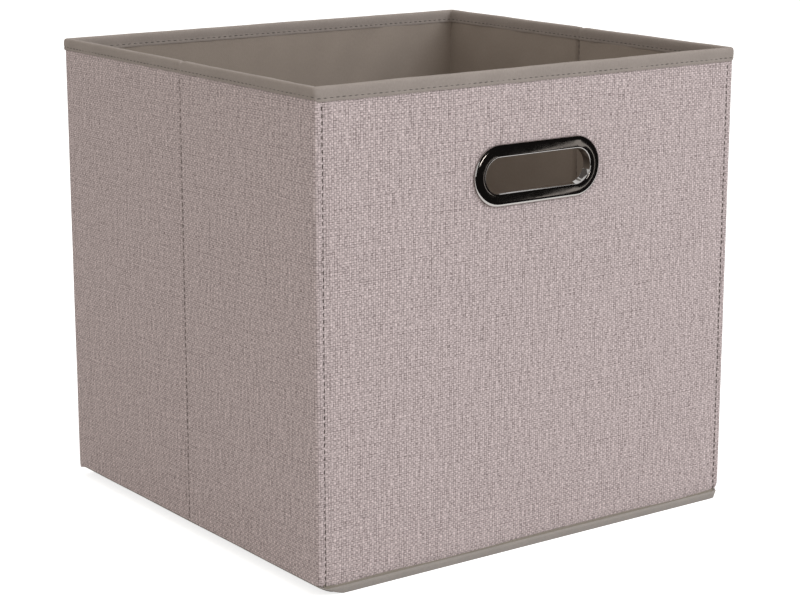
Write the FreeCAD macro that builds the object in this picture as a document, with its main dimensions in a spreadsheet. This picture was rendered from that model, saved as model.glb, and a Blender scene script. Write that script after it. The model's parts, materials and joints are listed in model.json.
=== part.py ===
"""Foldable fabric storage box with an oval grommet handle. Millimetres, +Z up, front at -Y.

The origin is under the middle of the box, on the surface that it stands on. Distances of the
walls are counted from the middle of the box, so one set of spans serves both sides.
"""

import FreeCAD, Part
import os

import Sketcher

doc = FreeCAD.newDocument("storage_box")

# Driving dimensions: name, millimetres, what it is
SIZES = [
    ("box_width", 310, "left to right, over the outer cloth"),
    ("box_depth", 285, "front to back, over the outer cloth"),
    ("box_height", 290, "floor to the top of the binding"),
    ("cloth_thickness", 0.8, "outer linen cloth"),
    ("board_thickness", 2, "greyboard inside each panel"),
    ("lining_thickness", 0.5, "inner nonwoven lining"),
    ("seam_margin", 4, "board ends this far from a sewn corner"),
    ("fold_margin", 2.5, "board ends this far from the side wall's folds"),
    ("binding_thickness", 0.6, "tape over the rim, each side of the wall"),
    ("binding_drop", 9, "how far the tape reaches down from the rim"),
    ("binding_roll", 1.1, "rounding of the tape over the rim"),
    ("thread_thickness", 0.3, "sewing thread, proud of the cloth"),
    ("thread_width", 0.5, "sewing thread, along the cloth"),
    ("binding_stitch_lift", 2.4, "stitch row above the tape's lower edge"),
    ("stitch_start", 1, "stitch row short of the ends of its seam"),
    ("corner_stitch_inset", 4.7, "stitch row in from the vertical corner"),
    ("fold_stitch_inset", 0.8, "stitch row beside the side wall's fold"),
    ("hinge_setback", 1.2, "corner fold line, inside the lining"),
    ("hinge_gap", 0.3, "between two panels at a fold line"),
    ("skirt_gap", 0.3, "moving walls above the base cloth's rim"),
    ("side_lift", 2.7, "side walls' lower edge above the back wall's"),
    ("base_cloth_thickness", 0.8, "nonwoven cloth under the box"),
    ("base_strip_height", 4.7, "base cloth turned up below the outer cloth"),
    ("base_turn_width", 11, "where the base cloth curves up at its sides"),
    ("base_board_thickness", 2.5, "greyboard of the loose bottom"),
    ("base_cover_thickness", 0.4, "cloth round the loose bottom"),
    ("base_board_rest", 0.6, "loose bottom above the base cloth's middle"),
    ("base_board_clearance", 2.2, "loose bottom inside the lining, all round"),
    ("base_board_turn_gap", 4, "loose bottom inside the base cloth's curved sides"),
    ("hand_hole_width", 78, "clear opening of the grommet"),
    ("hand_hole_height", 21, "clear opening of the grommet"),
    ("grommet_drop", 61, "middle of the grommet below the rim"),
    ("flange_width", 7.7, "grommet face ring, opening to outer edge"),
    ("flange_rise", 2.6, "grommet face ring, proud of the cloth"),
    ("flange_edge", 0.9, "grommet face ring, height of its outer edge"),
    ("lip_radius", 1.4, "rounding from the face ring into the barrel"),
    ("barrel_thickness", 1, "tube of the grommet through the wall"),
    ("barrel_tail", 0.3, "barrel proud of the back ring"),
    ("back_ring_width", 5, "back ring outside the barrel"),
    ("back_ring_thickness", 1.2, "back ring on the lining"),
    ("hole_clearance", 0.3, "wall's cut-out round the barrel"),
    ("ring_clearance", 0.1, "back ring round the barrel"),
]

sheet = doc.addObject("Spreadsheet::Sheet", "sizes")
for row, (alias, size, meaning) in enumerate(SIZES, start=1):
    sheet.set(f"A{row}", alias)
    sheet.set(f"B{row}", str(size))
    sheet.set(f"C{row}", meaning)
    sheet.setAlias(f"B{row}", alias)
doc.recompute()

# Stations that several pieces share, as expressions on the sheet
HALF_WIDTH = "sizes.box_width / 2"
HALF_DEPTH = "sizes.box_depth / 2"
WALL = "(sizes.cloth_thickness + sizes.board_thickness + sizes.lining_thickness)"
BACKED = "(sizes.cloth_thickness + sizes.board_thickness)"
RIM = "sizes.box_height"
CLOTH_TOP = "(sizes.box_height - sizes.binding_thickness)"
BINDING_FOOT = "(sizes.box_height - sizes.binding_drop)"
ROW_FOOT = f"({BINDING_FOOT} + sizes.binding_stitch_lift)"
BINDING_STITCH = (ROW_FOOT, f"{ROW_FOOT} + sizes.thread_width")
FIXED_FOOT = "sizes.base_strip_height"
MOVING_FOOT = "(sizes.base_strip_height + sizes.skirt_gap)"
SIDE_FOOT = f"({MOVING_FOOT} + sizes.side_lift)"
CORNER_FOLD = f"({HALF_DEPTH} - {WALL} - sizes.hinge_setback)"
SIDE_START = "(sizes.hinge_gap / 2)"
SIDE_END = f"({CORNER_FOLD} - sizes.hinge_gap)"
HOLE_HEIGHT = "(sizes.box_height - sizes.grommet_drop)"
HOLE_RADIUS = "sizes.hand_hole_height / 2"
HOLE_HALF_RUN = "(sizes.hand_hole_width - sizes.hand_hole_height) / 2"
BARREL_RADIUS = f"({HOLE_RADIUS} + sizes.barrel_thickness)"
BINDING_OUT_X = f"({HALF_WIDTH} + sizes.binding_thickness)"
BINDING_OUT_Y = f"({HALF_DEPTH} + sizes.binding_thickness)"
BINDING_IN_X = f"({HALF_WIDTH} - {WALL} - sizes.binding_thickness)"
BINDING_IN_Y = f"({HALF_DEPTH} - {WALL} - sizes.binding_thickness)"
LEFT = FRONT = -1
RIGHT = BACK = 1
BASE_TURN_START = f"({HALF_WIDTH} - sizes.base_turn_width)"
BASE_TURN_RADIUS = (
    "((sizes.base_turn_width ^ 2 + sizes.base_strip_height ^ 2) / (2 * sizes.base_strip_height))"
)
SAME_PLACE = 1e-6


def value(expression):
    """The present value of an expression on the sheet, in millimetres."""
    return float(sheet.evalExpression(expression))


def toward(side, span):
    """A span of distances from the middle, turned to the negative or the positive side."""
    near, far = span
    if side > 0:
        return near, far
    return f"-({far})", f"-({near})"


def slab(label, x_span, y_span, z_span):
    """A flat piece between two stations on each axis."""
    piece = doc.addObject("Part::Box", label)
    axes = [("Length", "x", x_span), ("Width", "y", y_span), ("Height", "z", z_span)]
    for extent, axis, (low, high) in axes:
        piece.setExpression(extent, f"({high}) - ({low})")
        piece.setExpression(f"Placement.Base.{axis}", low)
    return piece


def group(label, pieces):
    """Separate solids that make one sub-part."""
    whole = doc.addObject("Part::Compound", label)
    whole.Links = pieces
    return whole


def new_body(label):
    return doc.addObject("PartDesign::Body", label)


def new_sketch(body, name, plane, offset="0"):
    """A sketch on one of the body's own origin planes, offset along the plane's normal."""
    sketch = body.newObject("Sketcher::SketchObject", name)
    planes = {feature.Role: feature for feature in body.Origin.OriginFeatures}
    sketch.AttachmentSupport = (planes[plane], "")
    sketch.MapMode = "FlatFace"
    sketch.setExpression("AttachmentOffset.Base.z", offset)
    return sketch


def bind(sketch, expression, kind, *where):
    """A dimension of a sketch, bound to an expression on the sheet."""
    index = sketch.addConstraint(Sketcher.Constraint(kind, *where, value(expression)))
    sketch.setExpression(f"Constraints[{index}]", expression)


def arc_between(start, end, axis, centre_station):
    """The short arc between two points whose centre has a known place on one axis."""
    middle = (start + end) * 0.5
    square = FreeCAD.Vector(start.y - end.y, end.x - start.x, 0)
    if axis == "DistanceX":
        centre = middle + square * ((centre_station - middle.x) / square.x)
    else:
        centre = middle + square * ((centre_station - middle.y) / square.y)
    through = centre + (middle - centre).normalize() * (start - centre).Length
    return Part.Arc(start, through, end)


def end_at(sketch, edge, corner):
    """Which end of a sketch edge lies at a corner: 1 for its start, 2 for its end."""
    to_start = (sketch.getPoint(edge, 1) - corner).Length
    to_end = (sketch.getPoint(edge, 2) - corner).Length
    return 1 if to_start < to_end else 2


def draw_outline(sketch, points, arcs=None):
    """A closed outline through points given as pairs of expressions. arcs names the edges that
    are round, counted from the first point, each with its centre's place on one axis."""
    arcs = arcs or {}
    corners = [FreeCAD.Vector(value(u), value(v), 0) for u, v in points]
    following = corners[1:] + corners[:1]
    edges = []
    for index, (corner, after) in enumerate(zip(corners, following)):
        if index in arcs:
            axis, station = arcs[index]
            edges.append(sketch.addGeometry(arc_between(corner, after, axis, value(station))))
            bind(sketch, station, axis, -1, 1, edges[-1], 3)
        else:
            edges.append(sketch.addGeometry(Part.LineSegment(corner, after)))
    for index, (across, along) in enumerate(points):
        edge, before = edges[index], edges[index - 1]
        here, there = (end_at(sketch, each, corners[index]) for each in (edge, before))
        sketch.addConstraint(Sketcher.Constraint("Coincident", before, there, edge, here))
        bind(sketch, across, "DistanceX", -1, 1, edge, here)
        bind(sketch, along, "DistanceY", -1, 1, edge, here)


def draw_slot(sketch, radius, height):
    """A round-ended slot along the sketch's first axis, for the hand hole and its rings."""
    run, round_end, middle = value(HOLE_HALF_RUN), value(radius), value(height)
    up = FreeCAD.Vector(0, round_end, 0)
    reach = FreeCAD.Vector(round_end, 0, 0)
    right = FreeCAD.Vector(run, middle, 0)
    left = FreeCAD.Vector(-run, middle, 0)
    top = sketch.addGeometry(Part.LineSegment(left + up, right + up))
    bottom = sketch.addGeometry(Part.LineSegment(right - up, left - up))
    right_end = sketch.addGeometry(Part.Arc(right - up, right + reach, right + up))
    left_end = sketch.addGeometry(Part.Arc(left + up, left - reach, left - up))
    joints = [
        (top, 2, right_end, 2),
        (bottom, 1, right_end, 1),
        (bottom, 2, left_end, 2),
        (top, 1, left_end, 1),
    ]
    for line, line_end, arc, arc_end in joints:
        sketch.addConstraint(Sketcher.Constraint("Tangent", line, line_end, arc, arc_end))
    sketch.addConstraint(Sketcher.Constraint("Horizontal", top))
    sketch.addConstraint(Sketcher.Constraint("Horizontal", bottom))
    bind(sketch, HOLE_HALF_RUN, "DistanceX", -1, 1, right_end, 3)
    bind(sketch, HOLE_HALF_RUN, "DistanceX", left_end, 3, -1, 1)
    bind(sketch, height, "DistanceY", -1, 1, right_end, 3)
    bind(sketch, radius, "Radius", right_end)


def pad(body, sketch, length, reverse=False):
    feature = body.newObject("PartDesign::Pad", f"{body.Name}_pad")
    feature.Profile = sketch
    feature.Reversed = reverse
    feature.setExpression("Length", length)
    return feature


def pocket(body, sketch, length, reverse=False):
    """A cut from a sketch; one that takes nothing away is an error."""
    doc.recompute()
    whole = body.Shape.Volume
    feature = body.newObject("PartDesign::Pocket", f"{body.Name}_pocket")
    feature.Profile = sketch
    feature.Reversed = reverse
    feature.setExpression("Length", length)
    doc.recompute()
    if not body.Shape.Volume < whole:
        raise RuntimeError(f"{feature.Name} cut nothing")
    return feature


def round_top(body, feature, stations, radius):
    """Round the edges on the rim that stand at given distances from the box's middle planes."""
    doc.recompute()
    names = []
    for index, edge in enumerate(feature.Shape.Edges, start=1):
        points = [vertex.Point for vertex in edge.Vertexes]
        on_rim = all(abs(point.z - value(RIM)) < SAME_PLACE for point in points)
        for axis, distance in stations:
            far = all(
                abs(abs(getattr(point, axis)) - value(distance)) < SAME_PLACE for point in points
            )
            if on_rim and far:
                names.append(f"Edge{index}")
    rounded = body.newObject("PartDesign::Fillet", f"{body.Name}_roll")
    rounded.Base = (feature, names)
    rounded.setExpression("Radius", radius)


def end_outline(end, grow, reach, fold):
    """Plan of an end panel with a return round each corner, as far as the fold line. It lies
    grow outside the outer cloth and is reach thick."""
    outer_x = f"({HALF_WIDTH} + {grow})"
    inner_x = f"({HALF_WIDTH} + {grow} - {reach})"
    outer_y = f"{end} * ({HALF_DEPTH} + {grow})"
    inner_y = f"{end} * ({HALF_DEPTH} + {grow} - {reach})"
    fold_y = f"{end} * {fold}"
    return [
        (f"-{outer_x}", outer_y),
        (outer_x, outer_y),
        (outer_x, fold_y),
        (inner_x, fold_y),
        (inner_x, inner_y),
        (f"-{inner_x}", inner_y),
        (f"-{inner_x}", fold_y),
        (f"-{outer_x}", fold_y),
    ]


def cut_hand_hole(body):
    """The wall's oval cut-out, from the outer face inwards."""
    sketch = new_sketch(body, f"{body.Name}_hole", "XZ_Plane", HALF_DEPTH)
    draw_slot(sketch, f"{BARREL_RADIUS} + sizes.hole_clearance", HOLE_HEIGHT)
    pocket(body, sketch, WALL)


def end_cloth(label, end, foot):
    """Outer cloth of the front or back, wrapped round both corners."""
    body = new_body(label)
    sketch = new_sketch(body, f"{label}_plan", "XY_Plane", foot)
    draw_outline(sketch, end_outline(end, "0", "sizes.cloth_thickness", CORNER_FOLD))
    pad(body, sketch, f"{CLOTH_TOP} - {foot}")
    return body


def end_plate(label, end, half_length, depth_span, foot):
    """A flat layer of the front or back panel, between two distances from the middle."""
    body = new_body(label)
    near, far = toward(end, depth_span)
    sketch = new_sketch(body, f"{label}_face", "XZ_Plane", f"-({near})")
    corners = [
        (f"-({half_length})", foot),
        (half_length, foot),
        (half_length, CLOTH_TOP),
        (f"-({half_length})", CLOTH_TOP),
    ]
    draw_outline(sketch, corners)
    pad(body, sketch, f"({far}) - ({near})", reverse=True)
    return body


def end_binding(label, end):
    """Binding tape folded over the rim of the front or back and round both corners."""
    body = new_body(label)
    tape = "sizes.binding_thickness"
    outer = new_sketch(body, f"{label}_plan", "XY_Plane", BINDING_FOOT)
    draw_outline(outer, end_outline(end, tape, f"({WALL} + 2 * {tape})", CORNER_FOLD))
    block = pad(body, outer, "sizes.binding_drop")
    stations = [("x", BINDING_OUT_X), ("y", BINDING_OUT_Y), ("y", BINDING_IN_Y)]
    round_top(body, block, stations, "sizes.binding_roll")
    groove = new_sketch(body, f"{label}_groove", "XY_Plane", BINDING_FOOT)
    past_the_fold = f"({CORNER_FOLD} - {tape})"
    draw_outline(groove, end_outline(end, "0", WALL, past_the_fold))
    pocket(body, groove, f"sizes.binding_drop - {tape}", reverse=True)
    return body


def side_binding(label, side, length):
    """Binding tape folded over half of a side wall's rim."""
    body = new_body(label)
    tape = "sizes.binding_thickness"
    near, far = length
    section = new_sketch(body, f"{label}_section", "XZ_Plane", f"-({near})")
    across_and_up = [
        (BINDING_OUT_X, BINDING_FOOT),
        (BINDING_OUT_X, RIM),
        (BINDING_IN_X, RIM),
        (BINDING_IN_X, BINDING_FOOT),
        (f"({BINDING_IN_X} + {tape})", BINDING_FOOT),
        (f"({BINDING_IN_X} + {tape})", CLOTH_TOP),
        (f"({BINDING_OUT_X} - {tape})", CLOTH_TOP),
        (f"({BINDING_OUT_X} - {tape})", BINDING_FOOT),
    ]
    draw_outline(section, [(f"{side} * {across}", up) for across, up in across_and_up])
    strip = pad(body, section, f"({far}) - ({near})", reverse=True)
    stations = [("x", BINDING_OUT_X), ("x", BINDING_IN_X)]
    round_top(body, strip, stations, "sizes.binding_roll")
    return body


def thread_rows(label, side, axis, faces, along):
    """A stitch row on each face of a wall: axis is the one that the wall is square to, faces
    are its inner and outer surface, and along is the row's level span and its height span."""
    inner_face, outer_face = faces
    proud = "sizes.thread_thickness"
    spans = {
        "outside": toward(side, (outer_face, f"{outer_face} + {proud}")),
        "inside": toward(side, (f"{inner_face} - {proud}", inner_face)),
    }
    level, height = along
    rows = []
    for name, span in spans.items():
        x_span, y_span = (span, level) if axis == "x" else (level, span)
        rows.append(slab(f"{label}_{name}", x_span, y_span, height))
    return group(label, rows)


def end_panel(name, end, foot):
    """The front or back: board, outer cloth, lining, binding and stitch rows."""
    board_width = f"{HALF_WIDTH} - sizes.seam_margin"
    board_span = (f"{HALF_DEPTH} - {BACKED}", f"{HALF_DEPTH} - sizes.cloth_thickness")
    inside_width = f"{HALF_WIDTH} - {WALL}"
    lining_span = (f"{HALF_DEPTH} - {WALL}", f"{HALF_DEPTH} - {BACKED}")
    tape_faces = (BINDING_IN_Y, BINDING_OUT_Y)
    row_end = f"{BINDING_IN_X} - sizes.stitch_start"
    row = ((f"-({row_end})", row_end), BINDING_STITCH)
    layers = [
        end_plate(f"{name}_board", end, board_width, board_span, foot),
        end_cloth(f"{name}_cloth", end, foot),
        end_plate(f"{name}_lining", end, inside_width, lining_span, foot),
    ]
    if end == FRONT:
        for layer in layers:
            cut_hand_hole(layer)
    return layers + [
        end_binding(f"{name}_binding", end),
        thread_rows(f"{name}_binding_thread", end, "y", tape_faces, row),
        corner_threads(f"{name}_corner_threads", end, foot),
    ]


def corner_threads(label, end, foot):
    """The stitch row beside each vertical corner, on the front's or back's outer face."""
    outer = f"{HALF_WIDTH} - sizes.corner_stitch_inset"
    across = (f"{outer} - sizes.thread_width", outer)
    proud = toward(end, (HALF_DEPTH, f"{HALF_DEPTH} + sizes.thread_thickness"))
    height = (f"{foot} + sizes.stitch_start", f"{BINDING_FOOT} - sizes.stitch_start")
    rows = [
        slab(f"{label}_left", toward(LEFT, across), proud, height),
        slab(f"{label}_right", toward(RIGHT, across), proud, height),
    ]
    return group(label, rows)


def side_half(name, side, end):
    """Half of a folding side wall: board, outer cloth, lining, binding and stitch row."""
    length = toward(end, (SIDE_START, SIDE_END))
    board_ends = (f"{SIDE_START} + sizes.fold_margin", f"{SIDE_END} - sizes.fold_margin")
    height = (SIDE_FOOT, CLOTH_TOP)
    cloth_face = f"{HALF_WIDTH} - sizes.cloth_thickness"
    board_face = f"{HALF_WIDTH} - {BACKED}"
    lining_face = f"{HALF_WIDTH} - {WALL}"
    tape_faces = (BINDING_IN_X, BINDING_OUT_X)
    row_ends = (f"{SIDE_START} + sizes.stitch_start", f"{SIDE_END} - sizes.stitch_start")
    row = (toward(end, row_ends), BINDING_STITCH)
    board_x = toward(side, (board_face, cloth_face))
    return [
        slab(f"{name}_board", board_x, toward(end, board_ends), height),
        slab(f"{name}_cloth", toward(side, (cloth_face, HALF_WIDTH)), length, height),
        slab(f"{name}_lining", toward(side, (lining_face, board_face)), length, height),
        side_binding(f"{name}_binding", side, length),
        thread_rows(f"{name}_binding_thread", side, "x", tape_faces, row),
    ]


def fold_thread(label, side):
    """The stitch row beside a side wall's middle fold, through to the lining."""
    start = f"{SIDE_START} + sizes.fold_stitch_inset"
    across = toward(FRONT, (start, f"{start} + sizes.thread_width"))
    height = (f"{SIDE_FOOT} + sizes.stitch_start", f"{BINDING_FOOT} - sizes.stitch_start")
    return thread_rows(label, side, "x", (f"{HALF_WIDTH} - {WALL}", HALF_WIDTH), (across, height))


def grommet_face_ring():
    """Domed oval face ring with the barrel that goes through the front wall."""
    body = new_body("grommet_face_ring")
    body.setExpression("Placement.Base.y", f"-{HALF_DEPTH}")
    body.setExpression("Placement.Base.z", HOLE_HEIGHT)
    path = new_sketch(body, "grommet_path", "XZ_Plane")
    draw_slot(path, HOLE_RADIUS, "0")
    profile = new_sketch(body, "grommet_profile", "YZ_Plane")
    barrel_end = f"({WALL} + sizes.back_ring_thickness + sizes.barrel_tail)"
    rim_radius = f"({HOLE_RADIUS} + sizes.flange_width)"
    crest = f"({HOLE_RADIUS} + sizes.lip_radius)"
    stations = [
        ("0", rim_radius),
        ("-sizes.flange_edge", rim_radius),
        ("-sizes.flange_rise", crest),
        ("sizes.lip_radius - sizes.flange_rise", HOLE_RADIUS),
        (barrel_end, HOLE_RADIUS),
        (barrel_end, BARREL_RADIUS),
        ("0", BARREL_RADIUS),
    ]
    draw_outline(profile, stations, {1: ("DistanceY", crest), 2: ("DistanceY", crest)})
    ring = body.newObject("PartDesign::AdditivePipe", "grommet_face_ring_pipe")
    ring.Profile = profile
    ring.Spine = path
    return body


def grommet_back_ring():
    """Flat oval ring that the barrel is clinched to, on the lining."""
    body = new_body("grommet_back_ring")
    lining_face = f"({HALF_DEPTH} - {WALL})"
    sketch = new_sketch(body, "grommet_back_ring_face", "XZ_Plane", lining_face)
    draw_slot(sketch, f"{BARREL_RADIUS} + sizes.back_ring_width", HOLE_HEIGHT)
    draw_slot(sketch, f"{BARREL_RADIUS} + sizes.ring_clearance", HOLE_HEIGHT)
    pad(body, sketch, "sizes.back_ring_thickness", reverse=True)
    return body


def base_inner_station(height):
    """How far from the middle the base cloth's upper face reaches a given height on its curve."""
    radius = f"({BASE_TURN_RADIUS} - sizes.base_cloth_thickness)"
    return f"({BASE_TURN_START} + sqrt({radius} ^ 2 - ({BASE_TURN_RADIUS} - {height}) ^ 2))"


def base_cloth():
    """Soft bottom: a shallow tray of cloth, turned up under the front and back walls and
    curved up to the side walls."""
    body = new_body("base_cloth")
    rim = "sizes.base_strip_height"
    cloth = "sizes.base_cloth_thickness"
    turn_start = BASE_TURN_START
    inner_edge = base_inner_station(rim)
    turns = {0: ("DistanceX", f"-{turn_start}"), 2: ("DistanceX", turn_start)}

    outer = new_sketch(body, "base_cloth_section", "XZ_Plane", HALF_DEPTH)
    outer_points = [
        (f"-{HALF_WIDTH}", rim),
        (f"-{turn_start}", "0"),
        (turn_start, "0"),
        (HALF_WIDTH, rim),
    ]
    draw_outline(outer, outer_points, turns)
    pad(body, outer, "sizes.box_depth", reverse=True)

    inner = new_sketch(body, "base_cloth_hollow", "XZ_Plane", f"{HALF_DEPTH} - {cloth}")
    inner_points = [
        (f"-{inner_edge}", rim),
        (f"-{turn_start}", cloth),
        (turn_start, cloth),
        (inner_edge, rim),
    ]
    draw_outline(inner, inner_points, turns)
    pocket(body, inner, f"sizes.box_depth - 2 * {cloth}")
    return body


def base_board():
    """Loose bottom: greyboard, the cloth wrapped over it and the sheet glued underneath."""
    cover = "sizes.base_cover_thickness"
    foot = "(sizes.base_cloth_thickness + sizes.base_board_rest)"
    core_foot = f"({foot} + {cover})"
    core_top = f"({core_foot} + sizes.base_board_thickness)"
    inside_lining = f"{HALF_WIDTH} - {WALL} - sizes.base_board_clearance"
    inside_turn = f"{base_inner_station(foot)} - sizes.base_board_turn_gap"
    half_x = f"min({inside_lining}; {inside_turn})"
    half_y = f"({HALF_DEPTH} - {WALL} - sizes.base_board_clearance)"
    outer = [(f"-{half}", half) for half in (half_x, half_y)]
    inner = [(f"-({half} - {cover})", f"{half} - {cover}") for half in (half_x, half_y)]
    cover_sheet = doc.addObject("Part::Cut", "base_board_cover")
    cover_sheet.Base = slab("base_board_wrap", *outer, (foot, f"{core_top} + {cover}"))
    cover_sheet.Tool = slab("base_board_hollow", *inner, (foot, core_top))
    return [
        slab("base_board_core", *inner, (core_foot, core_top)),
        slab("base_board_backing", *inner, (foot, core_foot)),
        cover_sheet,
    ]


sub_parts = end_panel("front", FRONT, FIXED_FOOT) + end_panel("back", BACK, MOVING_FOOT)
for side_name, side in (("left", LEFT), ("right", RIGHT)):
    sub_parts += side_half(f"{side_name}_front", side, FRONT)
    sub_parts += side_half(f"{side_name}_rear", side, BACK)
    sub_parts.append(fold_thread(f"{side_name}_fold_thread", side))
sub_parts += [grommet_face_ring(), grommet_back_ring(), base_cloth()]
sub_parts += base_board()
doc.recompute()

for item in doc.Objects:
    if "Invalid" in item.State or "Error" in item.State:
        raise RuntimeError(f"{item.Name} did not rebuild: {item.State}")
for item in sub_parts:
    if item.Shape.isNull() or not item.Shape.isValid():
        raise RuntimeError(f"{item.Label} has no sound shape")

os.makedirs("parts", exist_ok=True)
for item in sub_parts:
    item.Shape.exportStep(f"parts/{item.Label}.step")
    print(f"{item.Label}: {len(item.Shape.Solids)} solids, {item.Shape.Volume:.0f} mm3")
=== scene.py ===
"""Dresses the foldable fabric storage box: woven cloth walls that bend at their folds, lining,
stitched rim binding, an oval metal hand hole, the base cloth and the loose bottom's cover.

Metres, +Z up, front at -Y. Each wall sheet starts as a line in plan, drawn counter-clockwise
round the box as seen from above, and is then drawn up row by row.
"""

import json
import math

import bmesh
import bpy
from mathutils import Matrix, Quaternion, Vector, noise
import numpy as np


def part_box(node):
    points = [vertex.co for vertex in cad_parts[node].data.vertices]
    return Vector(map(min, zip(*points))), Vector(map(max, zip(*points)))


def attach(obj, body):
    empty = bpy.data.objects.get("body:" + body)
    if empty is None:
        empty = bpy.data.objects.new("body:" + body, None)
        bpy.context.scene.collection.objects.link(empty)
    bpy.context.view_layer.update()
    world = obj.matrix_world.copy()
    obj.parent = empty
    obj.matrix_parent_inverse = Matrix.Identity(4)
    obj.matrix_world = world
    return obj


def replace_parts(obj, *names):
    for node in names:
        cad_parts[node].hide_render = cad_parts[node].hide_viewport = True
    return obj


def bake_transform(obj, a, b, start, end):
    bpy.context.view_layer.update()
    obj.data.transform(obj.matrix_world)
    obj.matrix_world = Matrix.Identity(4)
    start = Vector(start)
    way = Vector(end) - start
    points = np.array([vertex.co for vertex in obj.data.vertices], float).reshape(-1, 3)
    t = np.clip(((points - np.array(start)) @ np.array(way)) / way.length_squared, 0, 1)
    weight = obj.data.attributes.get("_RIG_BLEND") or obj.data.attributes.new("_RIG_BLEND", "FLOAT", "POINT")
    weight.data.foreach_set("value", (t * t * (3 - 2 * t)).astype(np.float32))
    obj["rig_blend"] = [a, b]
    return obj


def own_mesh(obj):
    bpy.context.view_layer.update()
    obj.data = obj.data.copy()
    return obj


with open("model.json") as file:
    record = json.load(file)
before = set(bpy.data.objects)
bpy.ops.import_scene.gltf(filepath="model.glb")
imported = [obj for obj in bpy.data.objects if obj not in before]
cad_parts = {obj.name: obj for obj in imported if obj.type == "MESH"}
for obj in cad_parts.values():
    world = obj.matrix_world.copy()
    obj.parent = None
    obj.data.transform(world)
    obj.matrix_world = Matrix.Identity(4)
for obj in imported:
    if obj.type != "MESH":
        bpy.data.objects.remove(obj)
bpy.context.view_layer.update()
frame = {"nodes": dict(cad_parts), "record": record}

MM = 0.001
joints = {joint["name"]: joint for joint in frame["record"]["behaviour"]["joints"]}


def middle_of(node, axis):
    low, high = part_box(node)
    return (low[axis] + high[axis]) / 2


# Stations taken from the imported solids
CLOTH_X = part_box("front_cloth")[1].x
FRONT_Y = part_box("front_cloth")[0].y
BACK_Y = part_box("back_cloth")[1].y
FRONT_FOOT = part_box("front_cloth")[0].z
BACK_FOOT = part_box("back_cloth")[0].z
SIDE_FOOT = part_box("left_front_cloth")[0].z
CLOTH_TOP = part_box("front_cloth")[1].z
LINING_X = -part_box("left_front_lining")[1].x
LINING_FRONT_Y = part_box("front_lining")[1].y
LINING_BACK_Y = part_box("back_lining")[0].y
BINDING_FOOT, RIM = (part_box("front_binding")[i].z for i in (0, 1))
TAPE_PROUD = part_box("front_binding")[1].x - CLOTH_X
CORNER_X = joints["right_front_corner_fold"]["pos_m"][0]
CORNER_Y = abs(joints["right_front_corner_fold"]["pos_m"][1])
CORNER_STITCH_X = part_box("front_corner_threads")[1].x - 0.25 * MM
FOLD_STITCH_Y = middle_of("left_fold_thread", 1)
RIM_STITCH_Z = middle_of("front_binding_thread", 2)
RING_LOW, RING_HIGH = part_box("grommet_face_ring")
RING_RADIUS = (RING_HIGH.z - RING_LOW.z) / 2
RING_HALF_RUN = (RING_HIGH.x - RING_LOW.x) / 2 - RING_RADIUS
HOLE_Z = middle_of("grommet_face_ring", 2)

# Where the wall pieces meet: beside the front corners, on the side walls near their fold, and
# short of the left rear corner. The right rear corner is open.
FRONT_CUT = 146 * MM
SIDE_CUT = -3.5 * MM
REAR_CUT = 134.5 * MM
OPEN_END = CORNER_Y - 0.3 * MM

# Cloth turns over this far on each side of a side wall's middle line
FOLD_REACH = 2.6 * MM
# The slot between the front cloth's hem and the base cloth
CREASE = 0.55 * MM
# The cut in cloth and lining under the grommet, from the middle of the oval's ends
HAND_HOLE_CUT = 12.4 * MM

CLOTH_THICKNESS = 0.8 * MM
LINING_THICKNESS = 0.5 * MM
TAPE_THICKNESS = 0.5 * MM
BASE_THICKNESS = 0.7 * MM
COVER_THICKNESS = 0.35 * MM


# Wires and sheets

def open_wire(points):
    """A wire through the plan points, and its vertices."""
    bm = bmesh.new()
    verts = [bm.verts.new((x, y, 0)) for x, y in points]
    for pair in zip(verts, verts[1:]):
        bm.edges.new(pair)
    return bm, verts


def round_off(bm, vert, radius, segments):
    bmesh.ops.bevel(bm, geom=[vert], offset=radius, offset_type="OFFSET", segments=segments,
                    profile=0.5, affect="VERTICES", material=-1)


def follow_wire(bm, start):
    """The wire's plan points in order from the start point. The wire is used up."""
    start = Vector((*start, 0))
    vert = min(bm.verts, key=lambda v: (v.co - start).length)
    line, edge = [vert.co.xy.copy()], None
    while True:
        onward = [e for e in vert.link_edges if e is not edge]
        if not onward:
            break
        edge = onward[0]
        vert = edge.other_vert(vert)
        line.append(vert.co.xy.copy())
    bm.free()
    return line


def plan_line(stations, radii, step=5 * MM):
    """An open line through stations in plan, corners rounded and long runs divided, in order."""
    bm, verts = open_wire(stations)
    for vert, radius in zip(verts[1:-1], radii):
        if radius:
            round_off(bm, vert, radius, 4)
    for edge in [e for e in bm.edges if e.calc_length() > step * 1.3]:
        bmesh.ops.subdivide_edges(bm, edges=[edge], cuts=round(edge.calc_length() / step) - 1)
    return follow_wire(bm, stations[0])


def corner_radii(stations, radius, slight=0.0):
    """Rounding of each inner station: radius at the box's corners, slight elsewhere."""
    radii = []
    for a, b, c in zip(stations, stations[1:], stations[2:]):
        before, after = Vector(b) - Vector(a), Vector(c) - Vector(b)
        radii.append(radius if before.angle(after) > math.radians(60) else slight)
    return radii


def outward_normals(line):
    """Plan normals on the right-hand side of the line's direction, which is outside the box."""
    normals = []
    for i in range(len(line)):
        along = (line[min(i + 1, len(line) - 1)] - line[max(i - 1, 0)]).normalized()
        normals.append(Vector((along.y, -along.x)))
    return normals


def lengths_along(line, start):
    runs = [start]
    for a, b in zip(line, line[1:]):
        runs.append(runs[-1] + (b - a).length)
    return runs


def extruded(bm, edges):
    """Extrudes the edges in place, and gives the new vertices and the new far edges."""
    grown = bmesh.ops.extrude_edge_only(bm, edges=edges)["geom"]
    verts = [g for g in grown if isinstance(g, bmesh.types.BMVert)]
    fresh = set(verts)
    far = [g for g in grown if isinstance(g, bmesh.types.BMEdge)
           and g.verts[0] in fresh and g.verts[1] in fresh]
    return verts, far


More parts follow.
